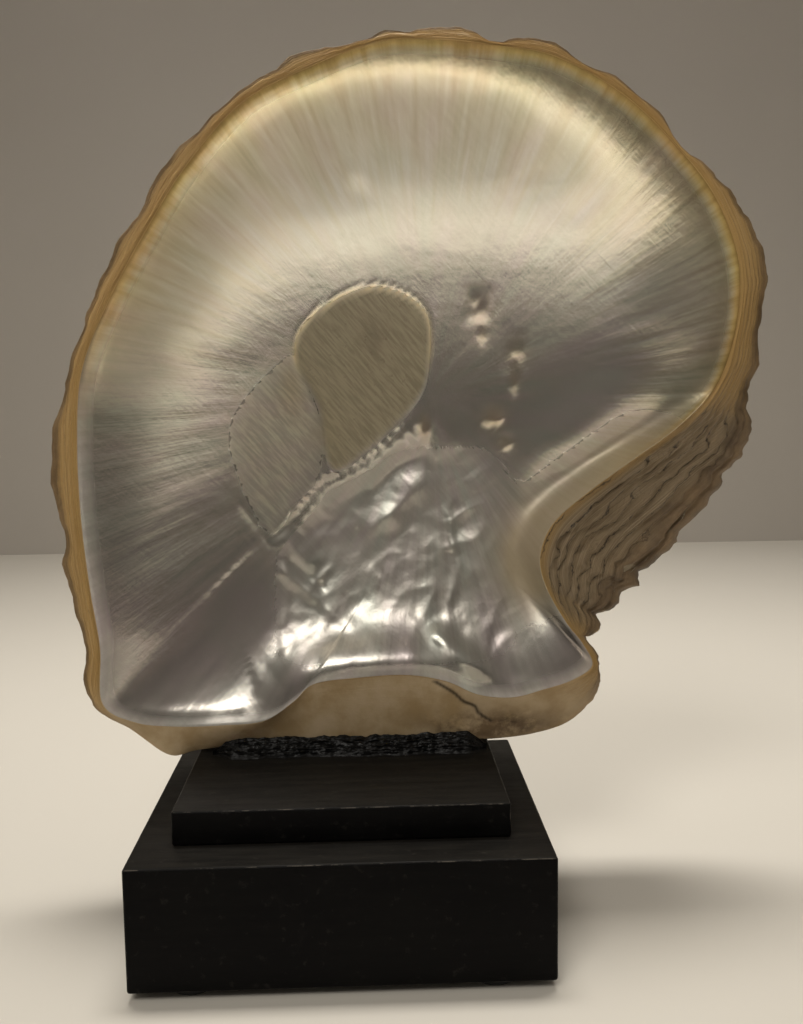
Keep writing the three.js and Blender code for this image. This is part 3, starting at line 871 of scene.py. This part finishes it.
def lip_material(mottle):
    """Golden-brown horn, flaky brown sheets in the byssal notch, tan on the hinge plate; painted shade in
    crevices and the crack.
    """
    made, tree, shader = material("golden_lip")
    across = mark(tree, "across")
    wall = mark(tree, "wall")
    hinge = mark(tree, "hinge")
    sheet = mark(tree, "sheet")
    where = spot_on(tree)
    parts = use_group(tree, mottle, Scale=90.0, Grain=0.6)
    jagged = noise(tree, where, 60.0, 8.0, 0.68)
    gap = crevice(tree, sheet, jagged, 2.2)
    pages = crevice(tree, calc(tree, "MULTIPLY", sheet, 5.0), jagged, 6.0)
    broken = ranged(tree, noise(tree, where, 45.0, 3.0, 0.5), 0.38, 0.6)
    wander = calc(tree, "MULTIPLY", noise(tree, where, 70.0, 3.0, 0.5), 3.0)
    lines_at = calc(tree, "MULTIPLY_ADD", across, 2.6, wander)
    lines = noise(tree, add(tree, "ShaderNodeCombineXYZ", {0: lines_at}).outputs[0], 1.0, 4.0, 0.6)
    horn = ramp(tree, lines, [
        (0.25, (0.22, 0.13, 0.05)),
        (0.50, (0.42, 0.27, 0.105)),
        (0.75, (0.55, 0.40, 0.20)),
    ])
    sheets = ramp(tree, lines, [
        (0.25, (0.11, 0.075, 0.042)),
        (0.50, (0.23, 0.17, 0.10)),
        (0.75, (0.38, 0.31, 0.215)),
    ])
    tan = blend(tree, parts["Cloud"], rgb(0.40, 0.28, 0.14), rgb(0.56, 0.43, 0.27))
    colour = blend(tree, wall, horn, sheets)
    gold = ranged(tree, across, 0.5, 4.0, 1.0, 0.0)
    colour = blend(tree, calc(tree, "MULTIPLY", gold, 0.7), colour, rgb(0.40, 0.25, 0.085))
    # Painted shade in the fine crevices between the pages of each sheet.
    page_shade = calc(tree, "MULTIPLY", pages, broken)
    page_shade = calc(tree, "MULTIPLY", page_shade, ranged(tree, wall, 0.0, 1.0, 0.1, 0.7))
    colour = blend(tree, page_shade, colour, rgb(0.07, 0.045, 0.025))
    # Painted shade in the crevice under each sheet's edge.
    gap_shade = calc(tree, "MULTIPLY", gap, ranged(tree, wall, 0.0, 1.0, 0.35, 0.95))
    colour = blend(tree, gap_shade, colour, rgb(0.018, 0.011, 0.007))
    brown = blend(tree, parts["Cloud"], rgb(0.06, 0.036, 0.018), rgb(0.24, 0.16, 0.085))
    outermost = calc(tree, "MULTIPLY_ADD", jagged, 0.5, mark(tree, "outer"))
    edge_brown = calc(tree, "MULTIPLY", ranged(tree, outermost, 0.85, 1.1), 0.8)
    colour = blend(tree, edge_brown, colour, brown)
    colour = blend(tree, hinge, colour, tan)
    flaky = calc(tree, "MULTIPLY", mark(tree, "flaky"), ranged(tree, jagged, 0.4, 0.55))
    colour = blend(tree, flaky, colour, brown)
    # Painted shade: a dark line along the hinge crack, which has no groove in the shape.
    colour = blend(tree, calc(tree, "MULTIPLY", mark(tree, "shaded_crack"), 0.9), colour, rgb(0.03, 0.018, 0.01))
    rough = ranged(tree, parts["Cloud"], 0.0, 1.0, 0.42, 0.62, "LINEAR")
    normal = bump(tree, lines, ranged(tree, hinge, 0.0, 1.0, 0.5, 0.15), 0.0007)
    normal = bump(tree, gap, ranged(tree, wall, 0.0, 1.0, -0.3, -0.9), 0.0006, normal)
    normal = bump(tree, parts["Cloud"], 0.2, 0.0004, normal)
    dress(tree, shader, colour, rough, normal, Specular_IOR_Level=0.35)
    return made


def crust_material(mottle):
    """Brown outer crust with growth lines, paler rays and painted shade at the foot of each ledge."""
    made, tree, shader = material("outer_crust")
    growth = mark(tree, "growth")
    parts = use_group(tree, mottle, Scale=55.0, Grain=0.6)
    where = spot_on(tree)
    ring = calc(tree, "FRACT", growth)
    lines_at = calc(tree, "ADD", calc(tree, "MULTIPLY", growth, 7.0),
                    calc(tree, "MULTIPLY", noise(tree, where, 60.0, 3.0, 0.5), 2.5))
    lines = noise(tree, add(tree, "ShaderNodeCombineXYZ", {0: lines_at}).outputs[0], 1.0, 4.0, 0.6)
    rays = noise(tree, mark(tree, "streak", "Vector"), 0.8, 3.0, 0.5)
    crust = ramp(tree, lines, [
        (0.30, (0.07, 0.05, 0.03)),
        (0.48, (0.18, 0.13, 0.08)),
        (0.64, (0.30, 0.24, 0.16)),
        (0.78, (0.46, 0.40, 0.30)),
    ])
    pale_rays = calc(tree, "MULTIPLY", ranged(tree, rays, 0.5, 0.65), 0.5)
    colour = blend(tree, pale_rays, crust, rgb(0.42, 0.37, 0.27))
    # Painted shade at the foot of each growth ledge, under the ledge above.
    ledge = calc(tree, "MULTIPLY", ranged(tree, ring, 0.0, 0.1, 1.0, 0.0), 0.6)
    colour = blend(tree, ledge, colour, rgb(0.05, 0.035, 0.02))
    colour = blend(tree, calc(tree, "MULTIPLY", parts["Speck"], 0.5), colour, rgb(0.55, 0.50, 0.42))
    rough = ranged(tree, parts["Cloud"], 0.0, 1.0, 0.6, 0.85, "LINEAR")
    normal = bump(tree, lines, 0.7, 0.0008)
    normal = bump(tree, parts["Cloud"], 0.4, 0.0006, normal)
    dress(tree, shader, colour, rough, normal, Specular_IOR_Level=0.35)
    return made


def paint_material(mottle):
    """Black paint, brushed, dusty and paler on top as painted sheen, and chipped along the arrises."""
    made, tree, shader = material("black_paint")
    where = spot_on(tree)
    parts = use_group(tree, mottle, Scale=45.0, Grain=0.65)
    brush = noise(tree, stretched(tree, where, (0.12, 1.0, 1.0)), 420.0, 4.0, 0.6)
    arris = mark(tree, "arris")
    chips = ranged(tree, noise(tree, where, 260.0, 5.0, 0.65), 0.48, 0.62)
    worn = calc(tree, "MULTIPLY", ranged(tree, arris, 0.45, 0.9), chips)
    scuff = ranged(tree, noise(tree, stretched(tree, where, (1.0, 0.3, 0.6)), 130.0, 6.0, 0.7), 0.62, 0.8)
    black = blend(tree, parts["Cloud"], rgb(0.0008, 0.0008, 0.0012), rgb(0.0025, 0.0024, 0.0024))
    facing = add(tree, "ShaderNodeNewGeometry").outputs["Normal"]
    upward = add(tree, "ShaderNodeSeparateXYZ", {0: facing}).outputs["Z"]
    # Dust on the upward faces, which also paints a sheen there: they are made paler.
    dust_and_sheen = ranged(tree, upward, 0.5, 1.0, 0.05, 0.35)
    dust_and_sheen = calc(tree, "MULTIPLY", dust_and_sheen, ranged(tree, brush, 0.3, 0.7, 0.5, 1.0))
    black = blend(tree, dust_and_sheen, black, rgb(0.035, 0.031, 0.025))
    colour = blend(tree, calc(tree, "MULTIPLY", scuff, 0.12), black, rgb(0.05, 0.045, 0.04))
    colour = blend(tree, calc(tree, "MULTIPLY", parts["Speck"], 0.03), colour, rgb(0.30, 0.27, 0.23))
    colour = blend(tree, calc(tree, "MULTIPLY", worn, 0.7), colour, rgb(0.22, 0.19, 0.15))
    rough = ranged(tree, parts["Cloud"], 0.0, 1.0, 0.40, 0.55, "LINEAR")
    rough = calc(tree, "ADD", rough, calc(tree, "MULTIPLY", scuff, 0.15))
    normal = bump(tree, brush, 0.25, 0.0003)
    dress(tree, shader, colour, rough, normal, Specular_IOR_Level=0.07)
    return made


def paste_material(mottle):
    """Hardened black paste with the shine of its brush strokes."""
    made, tree, shader = material("black_paste")
    where = spot_on(tree)
    parts = use_group(tree, mottle, Scale=120.0, Grain=0.65)
    strokes = noise(tree, stretched(tree, where, (0.25, 1.0, 1.0)), 700.0, 4.0, 0.65)
    colour = blend(tree, parts["Cloud"], rgb(0.002, 0.002, 0.002), rgb(0.006, 0.0055, 0.005))
    colour = blend(tree, calc(tree, "MULTIPLY", parts["Speck"], 0.05), colour, rgb(0.25, 0.22, 0.18))
    rough = ranged(tree, strokes, 0.3, 0.7, 0.28, 0.6, "LINEAR")
    dress(tree, shader, colour, rough, bump(tree, strokes, 0.5, 0.0005), Specular_IOR_Level=0.2)
    return made


def pad_material(mottle):
    """Dull dark rubber."""
    made, tree, shader = material("rubber_pad")
    parts = use_group(tree, mottle, Scale=160.0, Grain=0.5)
    colour = blend(tree, parts["Cloud"], rgb(0.008, 0.008, 0.009), rgb(0.02, 0.02, 0.021))
    rough = ranged(tree, parts["Cloud"], 0.0, 1.0, 0.7, 0.9, "LINEAR")
    dress(tree, shader, colour, rough, bump(tree, parts["Speck"], 0.2, 0.0003), Specular_IOR_Level=0.4)
    return made


def plain_material(name, colour, deeper):
    """A faintly cloudy plain surface for the stage."""
    made, tree, shader = material(name)
    cloud = noise(tree, spot_on(tree), 6.0, 4.0, 0.5)
    shade = blend(tree, cloud, rgb(*colour), rgb(*deeper))
    rough = ranged(tree, cloud, 0.0, 1.0, 0.55, 0.7, "LINEAR")
    dress(tree, shader, shade, rough)
    return made


def make_stage():
    """Pale table and a taupe wall well behind it."""
    low = -FOOT_HEIGHT * MM
    far_left, far_right = (-TABLE_HALF, WALL_Y, low), (TABLE_HALF, WALL_Y, low)
    near_left, near_right = (-TABLE_HALF, TABLE_FRONT, low), (TABLE_HALF, TABLE_FRONT, low)
    top_left, top_right = (-TABLE_HALF, WALL_Y, WALL_TOP), (TABLE_HALF, WALL_Y, WALL_TOP)
    table = bpy.data.meshes.new("table")
    table.from_pydata([near_left, near_right, far_right, far_left], [], [[0, 1, 2, 3]])
    wall = bpy.data.meshes.new("wall")
    wall.from_pydata([far_left, far_right, top_right, top_left], [], [[0, 1, 2, 3]])
    pale = plain_material("pale_table", (0.66, 0.62, 0.55), (0.62, 0.58, 0.51))
    taupe = plain_material("taupe_wall", (0.52, 0.48, 0.43), (0.48, 0.44, 0.39))
    new_object("table", table, pale)
    new_object("wall", wall, taupe)


def add_light(name, at, towards, size, power, spread):
    """A flat soft light."""
    lamp = bpy.data.lights.new(name, "AREA")
    lamp.shape = "RECTANGLE"
    lamp.size, lamp.size_y = size
    lamp.energy = power
    lamp.color = LAMP_COLOUR
    lamp.spread = math.radians(spread)
    made = bpy.data.objects.new(name, lamp)
    made.location = at
    made.rotation_mode = "QUATERNION"
    made.rotation_quaternion = (Vector(towards) - Vector(at)).to_track_quat("-Z", "Y")
    bpy.context.collection.objects.link(made)


def make_lights():
    """Lights from above and in front, and a dim room round them."""
    for light in LIGHTS:
        add_light(*light)
    world = bpy.data.worlds.new("dim_room")
    world.use_nodes = True
    room = world.node_tree
    facing = add(room, "ShaderNodeTexCoord").outputs["Generated"]
    height = add(room, "ShaderNodeSeparateXYZ", {0: facing}).outputs["Z"]
    glow = ramp(room, ranged(room, height, -0.1, 0.6), [(0.1, ROOM_LOW), (0.9, ROOM_HIGH)])
    room.links.new(glow, room.nodes["Background"].inputs["Color"])
    bpy.context.scene.world = world


def make_camera():
    """The photograph's own view."""
    yaw, pitch, roll = (math.radians(a) for a in (CAMERA_YAW, CAMERA_PITCH, CAMERA_ROLL))
    ahead = Vector((math.sin(yaw) * math.cos(pitch), math.cos(yaw) * math.cos(pitch), -math.sin(pitch)))
    right = Vector((math.cos(yaw), -math.sin(yaw), 0))
    up = right.cross(ahead)
    x_axis = math.cos(roll) * right + math.sin(roll) * up
    y_axis = math.cos(roll) * up - math.sin(roll) * right
    lens = bpy.data.cameras.new("photo_camera")
    lens.sensor_width = SENSOR
    lens.lens = SENSOR * FOCAL_PIXELS / IMAGE_HEIGHT
    lens.clip_start = CLIP_START
    made = bpy.data.objects.new("photo_camera", lens)
    turn = Matrix((x_axis, y_axis, -ahead)).transposed().to_4x4()
    made.matrix_world = Matrix.Translation(Vector(CAMERA_AT) * MM + ORIGIN_SHIFT) @ turn
    bpy.context.collection.objects.link(made)
    bpy.context.scene.camera = made


def place(piece, node, slot):
    """Hands a piece to the frame in the stead of its solid."""
    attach(piece, "root")
    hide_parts(node)


def main():
    mottle = mottle_group()
    paint = paint_material(mottle)
    shell = make_shell(nacre_material(mottle), lip_material(mottle), crust_material(mottle))
    place(shell, "shell", "nacre")
    plinth_at = (0, 0, PLINTH_HEIGHT / 2)
    plinth = make_board("plinth_block", PLINTH_WIDTH, PLINTH_DEPTH, PLINTH_HEIGHT, plinth_at, paint)
    place(plinth, "plinth", "black_paint")
    step_at = (0, STEP_Y, PLINTH_HEIGHT + STEP_HEIGHT / 2)
    step = make_board("step_block", STEP_WIDTH, STEP_DEPTH, STEP_HEIGHT, step_at, paint)
    place(step, "step", "black_paint")
    place(make_paste(paste_material(mottle)), "paste", "black_paste")
    rubber = pad_material(mottle)
    for name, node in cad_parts.items():
        if name.startswith("foot_"):
            node.data.materials.clear()
            node.data.materials.append(rubber)
    make_stage()
    make_lights()
    make_camera()
    bpy.context.scene.view_settings.view_transform = "Standard"


main()
